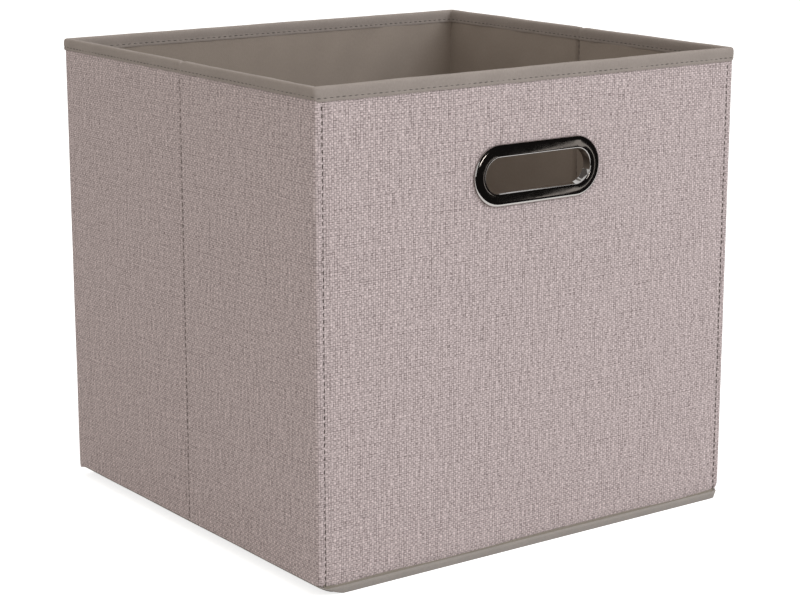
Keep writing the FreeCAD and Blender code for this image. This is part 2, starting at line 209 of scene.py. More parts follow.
def face_towards(bm, outside, probe):
    """Turns all faces so that the one whose middle has the least probe value looks outside."""
    bmesh.ops.recalc_face_normals(bm, faces=bm.faces)
    face = min(bm.faces, key=lambda f: probe(f.calc_center_median()))
    if face.normal.dot(Vector(outside)) < 0:
        bmesh.ops.reverse_faces(bm, faces=bm.faces)


def weave_layers(bm):
    """Where each vertex lies on the uncut cloth: its run round the box and its rise."""
    return bm.verts.layers.float.new("run"), bm.verts.layers.float.new("rise")


def lay_weave(bm):
    """Unwraps the sheet: u runs round the box and v up the wall, both in metres."""
    run, rise = bm.verts.layers.float["run"], bm.verts.layers.float["rise"]
    uv = bm.loops.layers.uv.new("weave")
    for face in bm.faces:
        for loop in face.loops:
            loop[uv].uv = (loop.vert[run], loop.vert[rise])


def drawn_sheet(columns, rows, place, runs, rise_at, inward=False):
    """A mesh sheet: a wire of columns is drawn through the rows, placed by place(column, row)."""
    bm = bmesh.new()
    column = bm.verts.layers.int.new("column")
    run, rise = weave_layers(bm)

    def settle(vert, row):
        i = vert[column]
        vert.co = place(i, row)
        vert[run], vert[rise] = runs[i], rise_at(i, row)

    first = []
    for i in range(columns):
        vert = bm.verts.new()
        vert[column] = i
        settle(vert, 0)
        first.append(vert)
    edges = [bm.edges.new(pair) for pair in zip(first, first[1:])]
    for row in range(1, rows):
        verts, edges = extruded(bm, edges)
        for vert in verts:
            settle(vert, row)
    corner, along, above = place(0, 0), place(1, 0), place(0, 1)
    outside = (along - corner).cross(above - corner) * (-1 if inward else 1)
    face_towards(bm, outside, lambda middle: (middle - corner).length)
    lay_weave(bm)
    return bm


def new_piece(name, bm, material):
    for edge in bm.edges:
        edge.smooth = not edge.is_boundary
    mesh = bpy.data.meshes.new(name)
    bm.to_mesh(mesh)
    bm.free()
    piece = bpy.data.objects.new(name, mesh)
    bpy.context.collection.objects.link(piece)
    mesh.materials.append(material)
    mesh.polygons.foreach_set("use_smooth", [True] * len(mesh.polygons))
    return piece


def thicken(piece, thickness):
    """Gives a sheet its thickness, behind the face that shows."""
    solid = piece.modifiers.new("thickness", "SOLIDIFY")
    solid.thickness = thickness
    solid.offset = -1


def soft(x, y, seed, waves, depth):
    """Slow unevenness of a cloth surface, with so many waves to the metre, up to depth."""
    return depth * noise.noise(Vector((x * waves, y * waves, seed * 7.3)))


def levels(low, high, step, extra=()):
    """Heights from low to high in even steps, and the extra ones above low."""
    count = max(2, round((high - low) / step))
    rows = [low + (high - low) * i / count for i in range(count + 1)]
    rows += [low + e for e in extra]
    return sorted(set(round(z, 6) for z in rows))


# The six wall pieces and the bodies that carry them

PANELS = {
    "front": ("front_panel",),
    "right_front": ("front_panel", "right_front_half"),
    "right_rear": ("right_front_half", "right_rear_half"),
    "back": ("left_rear_half", "back_panel"),
    "left_rear": ("left_front_half", "left_rear_half"),
    "left_front": ("front_panel", "left_front_half"),
}


def wall_pieces(x, front, back, groove, stitched=0.0):
    """Plan lines of the six wall pieces. groove moves the side walls' middle line outwards, or
    inwards where it is negative, and stitched is how deep the corner stitches pull the cloth in."""
    fold = x + groove
    deep = 0.6 * MM
    pull = 1.3 * MM
    seam = []
    if stitched:
        seam = [(CORNER_STITCH_X - pull, front), (CORNER_STITCH_X, front + stitched),
                (CORNER_STITCH_X + pull, front)]
    mirrored = [(-a, b) for a, b in reversed(seam)]
    back_seam = [(a, back + front - b) for a, b in reversed(seam)]
    back_mirrored = [(-a, b) for a, b in reversed(back_seam)]
    return {
        "front": [(-FRONT_CUT, front), (FRONT_CUT, front)],
        "right_front": [(FRONT_CUT, front), *seam, (x, front), (x, SIDE_CUT)],
        "right_rear": [(x, SIDE_CUT), (x, -FOLD_REACH), (fold, -deep), (fold, deep),
                       (x, FOLD_REACH), (x, OPEN_END)],
        "back": [(x, CORNER_Y), (x, back), *back_seam, *back_mirrored, (-x, back), (-x, REAR_CUT)],
        "left_rear": [(-x, REAR_CUT), (-x, FOLD_REACH), (-fold, deep), (-fold, -deep),
                      (-x, -FOLD_REACH), (-x, SIDE_CUT)],
        "left_front": [(-x, SIDE_CUT), (-x, front), *mirrored, (-FRONT_CUT, front)],
    }


def start_run(panel, x, front):
    """Run of a wall piece's first column, counted from the middle of the front."""
    return {
        "front": -FRONT_CUT,
        "right_front": FRONT_CUT,
        "right_rear": x + (SIDE_CUT - front),
        "back": x + (CORNER_Y - front),
        "left_rear": -x - (REAR_CUT - front),
        "left_front": -x - (SIDE_CUT - front),
    }[panel]


def carry(piece, panel):
    """Lets a wall piece ride on its body, or bend between the two bodies that it joins."""
    bodies = PANELS[panel]
    side = -1 if "left" in panel or panel == "back" else 1
    if len(bodies) == 1:
        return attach(piece, bodies[0])
    if panel.endswith("_front"):
        start, end = (side * CORNER_X, FRONT_Y, 0), (side * CLOTH_X, -CORNER_Y, 0)
    elif panel.endswith("_rear"):
        start, end = (side * CLOTH_X, -FOLD_REACH, 0), (side * CLOTH_X, FOLD_REACH, 0)
    else:
        start, end = (side * CLOTH_X, CORNER_Y, 0), (side * CORNER_X, BACK_Y, 0)
    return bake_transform(piece, *bodies, start=start, end=end)


# Materials

def add(tree, kind, inputs=None, **settings):
    """A shader node with its settings made and its inputs linked or set."""
    made = tree.nodes.new("ShaderNode" + kind)
    for key, value in settings.items():
        setattr(made, key, value)
    for key, value in (inputs or {}).items():
        if isinstance(value, bpy.types.NodeSocket):
            tree.links.new(value, made.inputs[key])
        else:
            made.inputs[key].default_value = value
    return made


def calc(tree, operation, first, second=0.0, third=0.0, clamp=False):
    return add(tree, "Math", {0: first, 1: second, 2: third}, operation=operation,
               use_clamp=clamp).outputs[0]


def weighed(tree, start, *parts):
    """start plus each part times its weight, kept between 0 and 1 at the end."""
    total = start
    for number, (part, weight) in enumerate(parts, start=1):
        total = calc(tree, "MULTIPLY_ADD", part, weight, total, clamp=number == len(parts))
    return total


def wave(tree, value, turn):
    """Sine of a value that is multiplied by turn."""
    return calc(tree, "SINE", calc(tree, "MULTIPLY", value, turn))


def ease(tree, value, low, high, at_low=0.0, at_high=1.0):
    """Smooth step of a value from low to high, as at_low to at_high."""
    return add(tree, "MapRange", {"Value": value, "From Min": low, "From Max": high,
                                  "To Min": at_low, "To Max": at_high},
               interpolation_type="SMOOTHSTEP").outputs[0]


def scaled(tree, vector, scale):
    return add(tree, "VectorMath", {0: vector, 1: scale}, operation="MULTIPLY").outputs[0]


def grain(tree, vector, detail=2.0, roughness=0.5):
    """Noise from 0 to 1."""
    return add(tree, "TexNoise", {"Vector": vector, "Scale": 1.0, "Detail": detail,
                                  "Roughness": roughness}).outputs[0]


def swing(tree, vector, detail=2.0, roughness=0.5):
    """Noise from -0.5 to 0.5."""
    return calc(tree, "SUBTRACT", grain(tree, vector, detail, roughness), 0.5)


def tones(tree, amount, dark, light):
    """Colour between dark and light by amount."""
    mix = add(tree, "Mix", {0: amount, 6: (*dark, 1), 7: (*light, 1)}, data_type="RGBA")
    return mix.outputs[2]


def sheet_millimetres(tree):
    """The sheet's own coordinates in millimetres: round the box, and up the wall."""
    return scaled(tree, add(tree, "UVMap", uv_map="weave").outputs[0], (1000, 1000, 1000))


def solid_millimetres(tree):
    return scaled(tree, add(tree, "TexCoord").outputs["Object"], (1000, 1000, 1000))


def shader(name, roughness=0.8, metallic=0.0, sheen=0.0, specular=0.5):
    material = bpy.data.materials.new(name)
    material.use_nodes = True
    tree = material.node_tree
    base = tree.nodes["Principled BSDF"]
    base.inputs["Roughness"].default_value = roughness
    base.inputs["Metallic"].default_value = metallic
    base.inputs["Sheen Weight"].default_value = sheen
    base.inputs["Specular IOR Level"].default_value = specular
    return material, tree, base


def paint(tree, base, amount, dark, light):
    tree.links.new(tones(tree, amount, dark, light), base.inputs["Base Color"])


def raise_surface(tree, base, height, distance, strength):
    bump = add(tree, "Bump", {"Height": height, "Distance": distance, "Strength": strength})
    tree.links.new(bump.outputs[0], base.inputs["Normal"])


# Yarn to yarn, in millimetres: the upright warp and the level weft
WARP_PITCH, WEFT_PITCH = 1.62, 1.29
LINEN_DARK, LINEN_LIGHT = (0.17, 0.131, 0.127), (0.80, 0.672, 0.662)


def woven_linen():
    """Plain weave of uneven yarns: upright warp and level weft, with slubs, and with painted
    shade darkening the gaps that run on between neighbouring yarns."""
    material, tree, base = shader("oatmeal_linen", roughness=0.88, sheen=0.08, specular=0.25)
    place = sheet_millimetres(tree)
    axes = add(tree, "SeparateXYZ", {0: place})
    round_box, up_wall = axes.outputs[0], axes.outputs[1]

    def yarn_count(distance, pitch, scale):
        """Number of yarns up to a distance, with the yarns unevenly spaced."""
        drift = swing(tree, scaled(tree, place, scale), 1.0)
        return calc(tree, "MULTIPLY_ADD", drift, 0.8, calc(tree, "DIVIDE", distance, pitch))

    def along_yarn(number, along, seed, slow):
        """One value for each yarn or gap, from -0.5 to 0.5, which changes slowly along it."""
        spot = add(tree, "CombineXYZ", {0: calc(tree, "MULTIPLY", number, 5.37),
                                        1: calc(tree, "MULTIPLY", along, slow), 2: seed})
        return swing(tree, spot.outputs[0], 2.0, 0.6)

    def yarns(count, along, seed):
        """Rise and fall over the yarns, each yarn's tone, the painted shade of its gap and the line between.
        """
        wave_over = wave(tree, count, math.pi)
        own = calc(tree, "FLOOR", count)
        tone = calc(tree, "SUBTRACT", along_yarn(own, along, seed, slow=0.11),
                    along_yarn(calc(tree, "ADD", own, 1.0), along, seed, slow=0.11))
        nearest = calc(tree, "FLOOR", calc(tree, "ADD", count, 0.5))
        strength = along_yarn(nearest, along, seed + 4, slow=0.06)
        line = ease(tree, calc(tree, "ABSOLUTE", wave_over), 0.0, 0.6, 1.0, 0.0)
        # Painted shade: the colour darkens in the gap between yarns, more in some gaps than in others
        gap_shade = calc(tree, "MULTIPLY", line, ease(tree, strength, -0.10, 0.22, 0.4, 0.9))
        return wave_over, tone, gap_shade, line

    # The spacing changes quickly from yarn to yarn and slowly along them
    warp = yarn_count(round_box, WARP_PITCH, (0.42, 0.018, 0))
    weft = yarn_count(up_wall, WEFT_PITCH, (0.02222, 0.4242, 0))
    warp_wave, warp_tone, warp_gap_shade, warp_line = yarns(warp, up_wall, seed=3.1)
    weft_wave, weft_tone, weft_gap_shade, weft_line = yarns(weft, round_box, seed=18.6)
    crossing = calc(tree, "MULTIPLY", warp_wave, weft_wave)
    brighter = calc(tree, "SUBTRACT", warp_tone, weft_tone)
    over = ease(tree, calc(tree, "ADD", crossing, brighter), -0.4, 0.4)
    fibres = swing(tree, scaled(tree, place, (1.4, 1.4, 0)), 1.0, 0.6)
    upright = swing(tree, scaled(tree, place, (1.7, 0.4, 0)), 1.0, 0.6)
    level = swing(tree, scaled(tree, place, (0.4, 1.7, 0)), 1.0, 0.6)
    cloudy = swing(tree, scaled(tree, place, (0.03, 0.03, 0)))
    # The two gap terms paint shade between the yarns into the colour
    shade = weighed(tree, 0.51, (over, 0.23), (warp_tone, 0.36), (weft_tone, 0.40), (warp_gap_shade, -0.56),
                    (weft_gap_shade, -0.58), (fibres, 0.90), (upright, 0.62), (level, 0.72), (cloudy, 0.04))
    paint(tree, base, shade, LINEN_DARK, LINEN_LIGHT)
    height = calc(tree, "MULTIPLY_ADD", over, 0.35, warp_tone)
    height = calc(tree, "MULTIPLY_ADD", warp_line, -0.5, calc(tree, "ADD", height, weft_tone))
    height = calc(tree, "MULTIPLY_ADD", weft_line, -0.5, height)
    raise_surface(tree, base, height, 0.2 * MM, 0.6)
    return material


def pressed_felt(name, colour, contrast, coordinates=sheet_millimetres, emboss=0.5):
    """Thin nonwoven: short fibres pressed flat, with the small dimples of its bonding roller."""
    dimple_pitch = 1.5
    material, tree, base = shader(name, roughness=0.9, sheen=0.05, specular=0.2)
    place = coordinates(tree)
    fibres = grain(tree, scaled(tree, place, (0.9, 0.5, 0.7)), 4.0, 0.7)
    blotches = swing(tree, scaled(tree, place, (0.05, 0.04, 0.05)), 3.0)
    axes = add(tree, "SeparateXYZ", {0: place})
    across = wave(tree, axes.outputs[0], 2 * math.pi / dimple_pitch)
    upwards = wave(tree, axes.outputs[1], 2 * math.pi / dimple_pitch)
    dimple = ease(tree, calc(tree, "MULTIPLY", across, upwards), 0.35, 0.9)
    shade = weighed(tree, 0.5, (calc(tree, "SUBTRACT", fibres, 0.5), contrast),
                    (blotches, contrast * 0.6), (dimple, -0.12 * emboss))
    paint(tree, base, shade, [c * 0.62 for c in colour], [c * 1.38 for c in colour])
    height = calc(tree, "MULTIPLY_ADD", dimple, -0.5 * emboss, fibres)
    raise_surface(tree, base, height, 0.12 * MM, 0.6)
    return material


def sewing_thread(name, colour):
    """Two-ply thread: slanting twist along each stitch."""
    material, tree, base = shader(name, roughness=0.7, sheen=0.1, specular=0.3)
    place = sheet_millimetres(tree)
    axes = add(tree, "SeparateXYZ", {0: place})
    slant = calc(tree, "ADD", axes.outputs[0], axes.outputs[1])
    twist = wave(tree, slant, 9.0)
    uneven = grain(tree, scaled(tree, place, (0.6, 0.6, 0)))
    shade = calc(tree, "MULTIPLY_ADD", twist, 0.14, uneven, clamp=True)
    paint(tree, base, shade, [c * 0.55 for c in colour], [c * 1.5 for c in colour])
    raise_surface(tree, base, twist, 0.1 * MM, 0.5)
    return material


def greyboard():
    """Recycled board: grey brown pulp with darker specks."""
    material, tree, base = shader("greyboard_finish", roughness=0.92, specular=0.2)
    place = solid_millimetres(tree)
    pulp = grain(tree, scaled(tree, place, (0.6, 0.6, 0.6)), 4.0, 0.65)
    specks = ease(tree, grain(tree, scaled(tree, place, (1.7, 1.7, 1.7)), 1.0), 0.68, 0.8, 0.0, -0.5)
    shade = calc(tree, "ADD", calc(tree, "MULTIPLY_ADD", pulp, 0.7, 0.15), specks, clamp=True)
    paint(tree, base, shade, (0.15, 0.13, 0.11), (0.42, 0.37, 0.31))
    raise_surface(tree, base, pulp, 0.1 * MM, 0.5)
    return material


def polished_gunmetal():
    """Dark nickel plating: a mirror with faint polishing haze."""
    material, tree, base = shader("polished_gunmetal", metallic=1.0)
    place = solid_millimetres(tree)
    haze = grain(tree, scaled(tree, place, (0.08, 0.3, 0.08)), 3.0)
    tree.links.new(ease(tree, haze, 0.3, 0.7, 0.05, 0.11), base.inputs["Roughness"])
    paint(tree, base, haze, (0.39, 0.37, 0.355), (0.45, 0.43, 0.415))
    fine = grain(tree, scaled(tree, place, (0.25, 0.25, 0.25)), 1.0)
    raise_surface(tree, base, fine, 0.03 * MM, 0.3)
    return material


TAUPE = (0.316, 0.264, 0.224)
linen = woven_linen()
lining_felt = pressed_felt("taupe_lining", TAUPE, 0.36)
binding_tape = pressed_felt("binding_tape", (0.322, 0.277, 0.249), 0.44, emboss=0.3)
base_felt = pressed_felt("base_cloth_finish", (0.35, 0.314, 0.287), 0.35)
backing_felt = pressed_felt("board_backing_finish", TAUPE, 0.36, solid_millimetres)
corner_thread = sewing_thread("dark_thread", (0.085, 0.07, 0.062))
fold_thread = sewing_thread("fold_thread", (0.2, 0.168, 0.155))
rim_thread = sewing_thread("rim_thread", (0.12, 0.105, 0.094))
board_finish = greyboard()
gunmetal = polished_gunmetal()


# Walls

def turned_end(radius, first, last, step):
    """Plan points on an arc about the open corner's hinge line, where a wall's edge tucks in
    under the back wall's and slides out as the box folds. Angles in degrees."""
    count = round((last - first) / step)
    angles = [math.radians(first + (last - first) * k / count) for k in range(count + 1)]
    return [Vector((CORNER_X + radius * math.cos(a), CORNER_Y + radius * math.sin(a)))
            for a in angles]


def hem_height(panel, x, y):
    """The outer cloth's hem, which climbs from the front and back walls' to the side walls'.
    At the front it climbs slowly round the left corner and quickly round the right one."""
    if "rear" in panel:
        return SIDE_FOOT
    inward = max(0, CLOTH_X - abs(x))
    if panel == "back":
        turn = 12 * MM
        at_back = min(1, max(0, (y - BACK_Y + turn) / turn))
        side = SIDE_FOOT + (BACK_FOOT - SIDE_FOOT) * at_back
        return BACK_FOOT + (side - BACK_FOOT) * math.exp(-inward / (5 * MM))
    reach = 6 * MM if x < 0 else 2.5 * MM
    front_hem = FRONT_FOOT + CREASE
    return front_hem + (SIDE_FOOT - front_hem) * math.exp(-((inward / reach) ** 1.5))


def cloth_wall(panel, stations):
    """Outer cloth: slightly swollen between its edges, with its hem tucked in."""
    line = plan_line(stations, corner_radii(stations, 2.2 * MM))
    square_ends = len(line)
    if panel == "right_rear":
        line += turned_end(3.6 * MM, -4, 86, 15)
    normals = outward_normals(line)
    runs = lengths_along(line, start_run(panel, CLOTH_X, FRONT_Y))
    rows = levels(FRONT_FOOT, CLOTH_TOP, 6 * MM, extra=(0.8 * MM, 2 * MM))
    feet = [hem_height(panel, point.x, point.y) for point in line]
    tucked_top = CLOTH_TOP - 1 * MM

    def place(i, row):
        share = (rows[row] - rows[0]) / (rows[-1] - rows[0])
        hem = feet[i] + soft(runs[i], 0, seed=3, waves=22, depth=0.35 * MM)
        if i >= square_ends:
            return Vector((line[i].x, line[i].y, hem + (tucked_top - hem) * share))
        z = hem + (CLOTH_TOP - hem) * share
        swell = soft(runs[i], z, seed=1, waves=9, depth=0.3 * MM)
        swell += soft(runs[i], z, seed=2, waves=30, depth=0.12 * MM)
        tuck = 1.0 * MM * abs(normals[i].y) * math.exp(-(((z - hem) / (1.6 * MM)) ** 2))
        point = line[i] + normals[i] * (swell - tuck)
        return Vector((point.x, point.y, z))

    bm = drawn_sheet(len(line), len(rows), place, runs, lambda i, row: place(i, row).z)
    if panel == "front":
        open_hand_hole(bm)
    piece = new_piece(f"outer_cloth_{panel}", bm, linen)
    thicken(piece, CLOTH_THICKNESS)
    return piece, (runs[-1] - runs[0], CLOTH_TOP - FRONT_FOOT)


def open_hand_hole(bm):
    """Cuts the hand hole: faces inside it go, and its edge is drawn to the oval."""
    def from_oval(point):
        nearest = Vector((min(RING_HALF_RUN, max(-RING_HALF_RUN, point.x)), HOLE_Z))
        return Vector((point.x, point.z)) - nearest, nearest

    gone = [f for f in bm.faces
            if from_oval(f.calc_center_median())[0].length < HAND_HOLE_CUT + 1 * MM]
    bmesh.ops.delete(bm, geom=gone, context="FACES")
    for vert in bm.verts:
        away, nearest = from_oval(vert.co)
        if vert.is_boundary and 0 < away.length < HAND_HOLE_CUT * 2.2:
            spot = nearest + away.normalized() * HAND_HOLE_CUT
            vert.co.x, vert.co.z = spot.x, spot.y


def lining_wall(panel, stations):
    """Lining: slack between its edges, and held to the wall under the rim."""
    line = plan_line(stations, corner_radii(stations, 1.0 * MM, 0.5 * MM))
    normals = outward_normals(line)
    runs = lengths_along(line, start_run(panel, LINING_X, LINING_FRONT_Y))
    rows = levels(FRONT_FOOT + 0.5 * MM, RIM - 1.5 * MM, 7 * MM)
    side_foot = SIDE_FOOT + 0.3 * MM

    def place(i, row):
        foot = side_foot if abs(line[i].x) > LINING_X - 0.1 * MM else rows[0]
        z = foot + (rows[row] - rows[0]) * (rows[-1] - foot) / (rows[-1] - rows[0])
        slack = abs(soft(runs[i] + z * 0.5, z * 0.35, seed=5, waves=26, depth=2.8 * MM))
        slack += abs(soft(runs[i], z * 0.4, seed=6, waves=34, depth=0.7 * MM))
        near_rim = min(1, (RIM - z) / (25 * MM))
        point = line[i] - normals[i] * slack * near_rim
        return Vector((point.x, point.y, z))

    bm = drawn_sheet(len(line), len(rows), place, runs, lambda i, row: place(i, row).z, inward=True)
    if panel == "front":
        open_hand_hole(bm)
    piece = new_piece(f"inner_lining_{panel}", bm, lining_felt)
    thicken(piece, LINING_THICKNESS)
    return piece, (runs[-1] - runs[0], rows[-1] - rows[0])


def binding_section():
    """Section of the folded tape: (share of the way from its outer to its inner face, height)."""
    foot, top = BINDING_FOOT + 0.7 * MM, RIM
    side = [(0.0, foot), (-0.02, foot + 0.5 * MM), (-0.04, foot + 1.3 * MM), (0.01, RIM_STITCH_Z),
            (-0.045, RIM_STITCH_Z + 1.2 * MM), (-0.03, top - 2.6 * MM), (0.01, top - 1.3 * MM),
            (0.1, top - 0.45 * MM), (0.25, top - 0.1 * MM)]
    return side + [(0.5, top)] + [(1 - share, z) for share, z in reversed(side)]


def inner_edge(point):
    """The tape's inner plan point across the wall from its outer one."""
    rounding = 0.9 * MM
    half_x = LINING_X - TAPE_PROUD - rounding
    low, high = LINING_FRONT_Y + TAPE_PROUD + rounding, LINING_BACK_Y - TAPE_PROUD - rounding
    centre = Vector((min(half_x, max(-half_x, point.x)), min(high, max(low, point.y))))
    at_fold = abs(point.y) < 4 * MM
    pinch = max(0, CLOTH_X + TAPE_PROUD - abs(point.x)) if at_fold else 0
    return centre + (point - centre).normalized() * (rounding + pinch)


def side_lift(point, z):
    """How much higher the tape's outer side lies on the side walls than on the front and back."""
    beside = min(1, max(0, (abs(point.x) - CLOTH_X + 2 * MM) / (2 * MM)))
    return 1.3 * MM * beside * (RIM - z) / (RIM - BINDING_FOOT)


def fold_dip(point):
    """How far the rim dips where a side wall's fold crosses it."""
    if abs(point.x) <= CLOTH_X:
        return 0.0
    return 1.1 * MM * math.exp(-(((point.y - FOLD_STITCH_Y) / (2.6 * MM)) ** 2))


def binding_wall(panel, stations):
    """Rim tape, folded over the wall, with a waving edge, small puckers and a dip at the fold."""
    outer = plan_line(stations, corner_radii(stations, 2.6 * MM), 2.4 * MM)
    inner = [inner_edge(point) for point in outer]
    square_ends = len(outer)
    if panel == "right_rear":
        outer += turned_end(4.3 * MM, -2, 86, 11)
        inner += turned_end(0.5 * MM, -2, 86, 11)
    runs = lengths_along(outer, start_run(panel, CLOTH_X, FRONT_Y))
    section = binding_section()
    wall_width = 4.5 * MM
    rises = [0.0]
    for (share, z), (next_share, next_z) in zip(section, section[1:]):
        rises.append(rises[-1] + math.hypot((next_share - share) * wall_width, next_z - z))

    def place(i, row):
        share, z = section[row]
        high = (z - BINDING_FOOT) / (RIM - BINDING_FOOT)
        if i >= square_ends:
            z -= 0.6 * MM * high
        else:
            top_wave = soft(runs[i], 0, seed=8, waves=26, depth=0.45 * MM)
            top_wave += soft(runs[i], 0, seed=9, waves=90, depth=0.12 * MM)
            edge = soft(runs[i], share * 0.2, seed=10, waves=60, depth=0.35 * MM) * (1 - high)
            z = min(z + top_wave * high * 0.6 + edge, RIM + 0.4 * MM) - fold_dip(outer[i]) * high
            if share < 0.5:
                z += side_lift(outer[i], z)
        pucker = soft(runs[i], z * 0.3, seed=11, waves=130, depth=0.06)
        pucker += soft(runs[i], z, seed=13, waves=60, depth=0.04)
        point = outer[i].lerp(inner[i], share + pucker * (1 if share < 0.5 else -1))
        return Vector((point.x, point.y, z))

    bm = drawn_sheet(len(outer), len(section), place, runs, lambda i, row: rises[row])
    piece = new_piece(f"rim_binding_{panel}", bm, binding_tape)
    thicken(piece, TAPE_THICKNESS)
    return piece, (runs[-1] - runs[0], rises[-1]), (outer[:square_ends], inner[:square_ends], runs)


cloth_lines = wall_pieces(CLOTH_X, FRONT_Y, BACK_Y, -0.35 * MM, stitched=0.3 * MM)
lining_lines = wall_pieces(LINING_X, LINING_FRONT_Y, LINING_BACK_Y, 2.0 * MM)
binding_lines = wall_pieces(CLOTH_X + TAPE_PROUD, FRONT_Y - TAPE_PROUD, BACK_Y + TAPE_PROUD, -0.8 * MM)

# At the open corner the right wall's lining runs up to the back wall's
lining_lines["right_rear"][-1] = (LINING_X, LINING_BACK_Y - 0.15 * MM)
lining_lines["back"][0:2] = [(LINING_X, LINING_BACK_Y)]

rims = {}
for panel in PANELS:
    piece, flat = cloth_wall(panel, cloth_lines[panel])
    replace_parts(carry(piece, panel), f"{panel}_cloth")
    piece, flat = lining_wall(panel, lining_lines[panel])
    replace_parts(carry(piece, panel), f"{panel}_lining")
    piece, flat, rims[panel] = binding_wall(panel, binding_lines[panel])
    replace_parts(carry(piece, panel), f"{panel}_binding")


# Stitches

def stitches(spots, length, width, height):
    """Separate stitches: each spot is (middle, direction along the row, outward, run, rise)."""
    bm = bmesh.new()
    run, rise = weave_layers(bm)
    for middle, along, out, u, v in spots:
        across = out.cross(along).normalized()
        turn = Matrix((along, across, out)).transposed().to_4x4()
        size = Matrix.Diagonal((length / 2, width / 2, height, 1))
        made = bmesh.ops.create_uvsphere(bm, u_segments=6, v_segments=5, radius=1,
                                         matrix=Matrix.Translation(middle) @ turn @ size)
        for vert in made["verts"]:
            offset = vert.co - middle
            vert[run], vert[rise] = u + offset.dot(along), v + offset.dot(across)
    lay_weave(bm)
    return bm


def rim_stitch_spots(line, start, pitch, proud, outside):
    """A row along the tape's outer or inner side, slightly waving, each stitch a little tilted."""
    normals = outward_normals(line)
    runs = lengths_along(line, start)
    length = runs[-1] - runs[0]
    count = int((length - 1 * MM) / pitch)
    spots = []
    for k in range(count):
        target = runs[0] + (k + 0.5) * length / count
        i = max(j for j in range(len(runs) - 1) if runs[j] <= target)
        share = (target - runs[i]) / (runs[i + 1] - runs[i])
        point = line[i].lerp(line[i + 1], share)
        out = normals[i].lerp(normals[i + 1], share).normalized().to_3d() * (1 if outside else -1)
        along = Vector((line[i + 1] - line[i]).to_3d()).normalized()
        z = RIM_STITCH_Z + soft(target, 0, seed=12, waves=40, depth=0.2 * MM)
        if outside:
            z += side_lift(point, z)
        middle = Vector((point.x, point.y, z)) + out * proud
        tilt = Quaternion(out, 0.07 * math.sin(k * 12.9))
        spots.append((middle, tilt @ along, out, target, z))
    return spots


for panel in PANELS:
    outer, inner, runs = rims[panel]
    spots = rim_stitch_spots(outer, runs[0], 4.0 * MM, -0.05 * MM, outside=True)
    spots += rim_stitch_spots(inner, runs[0], 4.2 * MM, 0.1 * MM, outside=False)
    bm = stitches(spots, 2.7 * MM, 0.55 * MM, 0.3 * MM)
    piece = new_piece(f"rim_stitches_{panel}", bm, rim_thread)
    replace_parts(carry(piece, panel), f"{panel}_binding_thread")


def column_spots(x, y, out, foot, top, pitch, seed):
    """An upright row of stitches, each slightly out of line and tilted."""
    spots = []
    count = int((top - foot) / pitch)
    sideways = Vector((-out.y, out.x, 0))
    for k in range(count):
        z = foot + (k + 0.5) * (top - foot) / count
        lean = 0.12 * MM * math.sin(k * 5.1 + seed)
        tilt = Quaternion(out, 0.06 * math.sin(k * 7.7 + seed))
        spots.append((Vector((x, y, z)) + sideways * lean, tilt @ Vector((0, 0, 1)), out, x + y, z))
    return spots


for end, y, out in (("front", FRONT_Y, -1), ("back", BACK_Y, 1)):
    foot, top = (corner.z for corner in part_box(f"{end}_corner_threads"))
    spots = []
    for side in (-1, 1):
        spots += column_spots(side * CORNER_STITCH_X, y, Vector((0, out, 0)), foot, top, 3.9 * MM, side)
    bm = stitches(spots, 3.0 * MM, 0.6 * MM, 0.3 * MM)
    piece = new_piece(f"corner_stitches_{end}", bm, corner_thread)
    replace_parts(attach(piece, f"{end}_panel"), f"{end}_corner_threads")

for side, sign in (("left", -1), ("right", 1)):
    foot, top = (corner.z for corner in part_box(f"{side}_fold_thread"))
    pitch = 4.3 * MM
    outwards = Vector((sign, 0, 0))
    spots = column_spots(sign * CLOTH_X, FOLD_STITCH_Y, outwards, foot, top, pitch, 3)
    spots += column_spots(sign * LINING_X, FOLD_STITCH_Y, -outwards, foot, top, pitch, 4)
    bm = stitches(spots, 3.5 * MM, 0.5 * MM, 0.3 * MM)
    piece = new_piece(f"fold_stitches_{side}", bm, fold_thread)
    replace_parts(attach(piece, f"{side}_front_half"), f"{side}_fold_thread")


# Grommet

def rounded_profile(points, radii, segments):
    """A profile of (radius, y) with each inner corner rounded."""
    bm, verts = open_wire(points)
    for vert, radius in zip(verts[1:-1], radii):
        round_off(bm, vert, radius, segments)
    return follow_wire(bm, points[0])


def oval_ring(profile):
    """Sweeps a profile of (radius, y) round the oval's two ends and along its two runs."""
    bm = bmesh.new()
    verts = [bm.verts.new((RING_HALF_RUN, y, HOLE_Z + radius)) for radius, y in profile]
    edges = [bm.edges.new(pair) for pair in zip(verts, verts[1:])]
    end_steps, run_steps = 22, 6
    for side in (1, -1):
        turned = bmesh.ops.spin(bm, geom=edges, cent=(side * RING_HALF_RUN, 0, HOLE_Z), axis=(0, 1, 0),
                                dvec=(0, 0, 0), angle=math.pi, steps=end_steps, use_duplicate=False)
        edges = [g for g in turned["geom_last"] if isinstance(g, bmesh.types.BMEdge)]
        for _ in range(run_steps):
            verts, edges = extruded(bm, edges)
            move = (-side * 2 * RING_HALF_RUN / run_steps, 0, 0)
            bmesh.ops.translate(bm, verts=verts, vec=move)
    bmesh.ops.remove_doubles(bm, verts=bm.verts, dist=1e-6)
    return bm


def grommet_part(name, profile, front, node):
    """One ring of the grommet, whose face that is furthest to the front or back looks that way."""
    bm = oval_ring(profile)
    towards = -1 if front else 1
    face_towards(bm, (0, towards, 0), lambda middle: -towards * middle.y)
    piece = new_piece(name, bm, gunmetal)
    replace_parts(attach(piece, "front_panel"), node)


